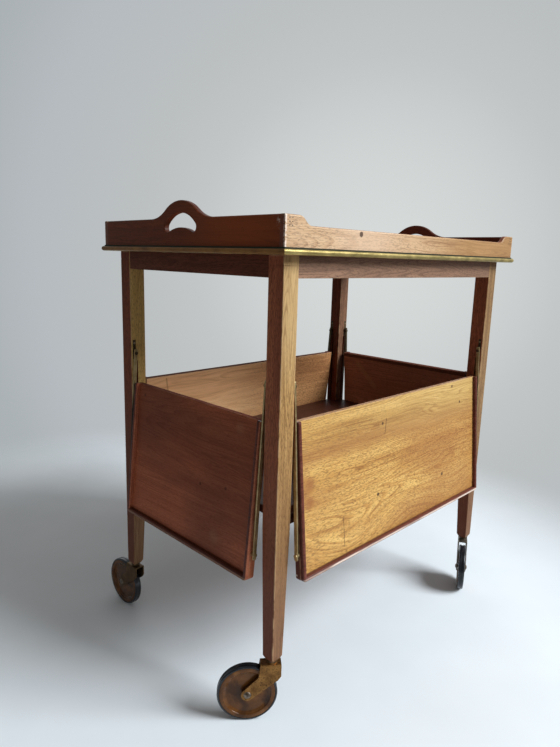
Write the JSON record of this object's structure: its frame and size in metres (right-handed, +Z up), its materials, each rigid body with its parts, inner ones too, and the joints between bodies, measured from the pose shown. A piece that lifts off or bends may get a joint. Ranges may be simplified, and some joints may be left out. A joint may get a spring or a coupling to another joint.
{
  "type": "drop leaf tea trolley",
  "caption": "Mahogany tea trolley with a lift-off gallery tray, a lower shelf with hanging leaves on brass links that swing up level, and large swivel castors.",
  "frame": {"origin": "on the floor, under the middle of the four legs", "axes": "+X along the long side, to the right seen from the front; +Y from front to back; +Z up"},
  "size_m": [0.701, 0.4934, 0.7475],
  "materials": {
    "mahogany": "worn satin polish over mahogany",
    "moulding_brass": "lacquered brass, slightly dull",
    "aged_brass": "aged, speckled brass plate",
    "pin_steel": "dark worn steel",
    "wheel_brown": "glossy brown moulded disc",
    "tyre_black": "black rubber"
  },
  "bodies": {
    "frame": {"leg_front_left": "mahogany", "leg_front_right": "mahogany", "leg_back_right": "mahogany", "leg_back_left": "mahogany", "apron_front": "mahogany", "apron_back": "mahogany", "apron_left": "mahogany", "apron_right": "mahogany", "shelf_board": "mahogany", "shelf_bearer_front": "mahogany", "shelf_bearer_back": "mahogany", "link_plates": "aged_brass", "link_pivots": "pin_steel", "castor_sockets": "aged_brass"},
    "tray": {"tray_base": "mahogany", "tray_rail_front": "mahogany", "tray_rail_back": "mahogany", "tray_rail_left": "mahogany", "tray_rail_right": "mahogany", "tray_mouldings": "moulding_brass", "tray_battens": "mahogany"},
    "links_front": {"leaf_front_links": "aged_brass"},
    "leaf_front": {"leaf_front_panel": "mahogany", "leaf_front_rim": "mahogany", "leaf_front_guide_pins": "pin_steel", "leaf_front_rivets": "pin_steel"},
    "links_back": {"leaf_back_links": "aged_brass"},
    "leaf_back": {"leaf_back_panel": "mahogany", "leaf_back_rim": "mahogany", "leaf_back_guide_pins": "pin_steel", "leaf_back_rivets": "pin_steel"},
    "links_left": {"leaf_left_links": "aged_brass"},
    "leaf_left": {"leaf_left_panel": "mahogany", "leaf_left_rim": "mahogany", "leaf_left_guide_pins": "pin_steel", "leaf_left_rivets": "pin_steel"},
    "links_right": {"leaf_right_links": "aged_brass"},
    "leaf_right": {"leaf_right_panel": "mahogany", "leaf_right_rim": "mahogany", "leaf_right_guide_pins": "pin_steel", "leaf_right_rivets": "pin_steel"},
    "fork_front_left": {"castor_front_left_fork": "aged_brass", "castor_front_left_axle": "pin_steel"},
    "wheel_front_left": {"castor_front_left_wheel": "wheel_brown", "castor_front_left_tyre": "tyre_black"},
    "fork_front_right": {"castor_front_right_fork": "aged_brass", "castor_front_right_axle": "pin_steel"},
    "wheel_front_right": {"castor_front_right_wheel": "wheel_brown", "castor_front_right_tyre": "tyre_black"},
    "fork_back_right": {"castor_back_right_fork": "aged_brass", "castor_back_right_axle": "pin_steel"},
    "wheel_back_right": {"castor_back_right_wheel": "wheel_brown", "castor_back_right_tyre": "tyre_black"},
    "fork_back_left": {"castor_back_left_fork": "aged_brass", "castor_back_left_axle": "pin_steel"},
    "wheel_back_left": {"castor_back_left_wheel": "wheel_brown", "castor_back_left_tyre": "tyre_black"}
  },
  "joints": [
    {"name": "tray_lift", "type": "slide", "parent": "frame", "child": "tray", "axis": [0, 0, 1], "range_m": [0, 0.1]},
    {"name": "links_front_swing", "type": "hinge", "parent": "frame", "child": "links_front", "pos_m": [0, -0.1897, 0.50152], "axis": [-1, 0, 0], "range_deg": [0, 44.03]},
    {"name": "leaf_front_fold", "type": "hinge", "parent": "links_front", "child": "leaf_front", "pos_m": [0, -0.20511, 0.25905], "axis": [-1, 0, 0], "range_deg": [0, 40.58]},
    {"name": "links_back_swing", "type": "hinge", "parent": "frame", "child": "links_back", "pos_m": [0, 0.1897, 0.50152], "axis": [1, 0, 0], "range_deg": [0, 44.03]},
    {"name": "leaf_back_fold", "type": "hinge", "parent": "links_back", "child": "leaf_back", "pos_m": [0, 0.20511, 0.25905], "axis": [1, 0, 0], "range_deg": [0, 40.58]},
    {"name": "links_left_swing", "type": "hinge", "parent": "frame", "child": "links_left", "pos_m": [-0.2904, 0, 0.50152], "axis": [0, 1, 0], "range_deg": [0, 44.03]},
    {"name": "leaf_left_fold", "type": "hinge", "parent": "links_left", "child": "leaf_left", "pos_m": [-0.3058, 0, 0.25905], "axis": [0, 1, 0], "range_deg": [0, 40.58]},
    {"name": "links_right_swing", "type": "hinge", "parent": "frame", "child": "links_right", "pos_m": [0.2904, 0, 0.50152], "axis": [0, -1, 0], "range_deg": [0, 44.03]},
    {"name": "leaf_right_fold", "type": "hinge", "parent": "links_right", "child": "leaf_right", "pos_m": [0.3058, 0, 0.25905], "axis": [0, -1, 0], "range_deg": [0, 40.58]},
    {"name": "castor_front_left_swivel", "type": "hinge", "parent": "frame", "child": "fork_front_left", "pos_m": [-0.286, -0.1853, 0.097], "axis": [0, 0, 1], "continuous": true},
    {"name": "castor_front_left_spin", "type": "hinge", "parent": "fork_front_left", "child": "wheel_front_left", "pos_m": [-0.31358, -0.16216, 0.0445], "axis": [-0.6428, -0.766, 0], "continuous": true},
    {"name": "castor_front_right_swivel", "type": "hinge", "parent": "frame", "child": "fork_front_right", "pos_m": [0.286, -0.1853, 0.097], "axis": [0, 0, 1], "continuous": true},
    {"name": "castor_front_right_spin", "type": "hinge", "parent": "fork_front_right", "child": "wheel_front_right", "pos_m": [0.25421, -0.2022, 0.0445], "axis": [0.4695, -0.8829, 0], "continuous": true},
    {"name": "castor_back_right_swivel", "type": "hinge", "parent": "frame", "child": "fork_back_right", "pos_m": [0.286, 0.1853, 0.097], "axis": [0, 0, 1], "continuous": true},
    {"name": "castor_back_right_spin", "type": "hinge", "parent": "fork_back_right", "child": "wheel_back_right", "pos_m": [0.31358, 0.16216, 0.0445], "axis": [0.6428, 0.766, 0], "continuous": true},
    {"name": "castor_back_left_swivel", "type": "hinge", "parent": "frame", "child": "fork_back_left", "pos_m": [-0.286, 0.1853, 0.097], "axis": [0, 0, 1], "continuous": true},
    {"name": "castor_back_left_spin", "type": "hinge", "parent": "fork_back_left", "child": "wheel_back_left", "pos_m": [-0.28726, 0.22128, 0.0445], "axis": [-0.9994, -0.0349, 0], "continuous": true}
  ],
  "couplings": [
    {"joint": "leaf_front_fold", "follows": "links_front_swing", "ratio": 0.92138},
    {"joint": "leaf_back_fold", "follows": "links_back_swing", "ratio": 0.92138},
    {"joint": "leaf_left_fold", "follows": "links_left_swing", "ratio": 0.92138},
    {"joint": "leaf_right_fold", "follows": "links_right_swing", "ratio": 0.92138}
  ]
}
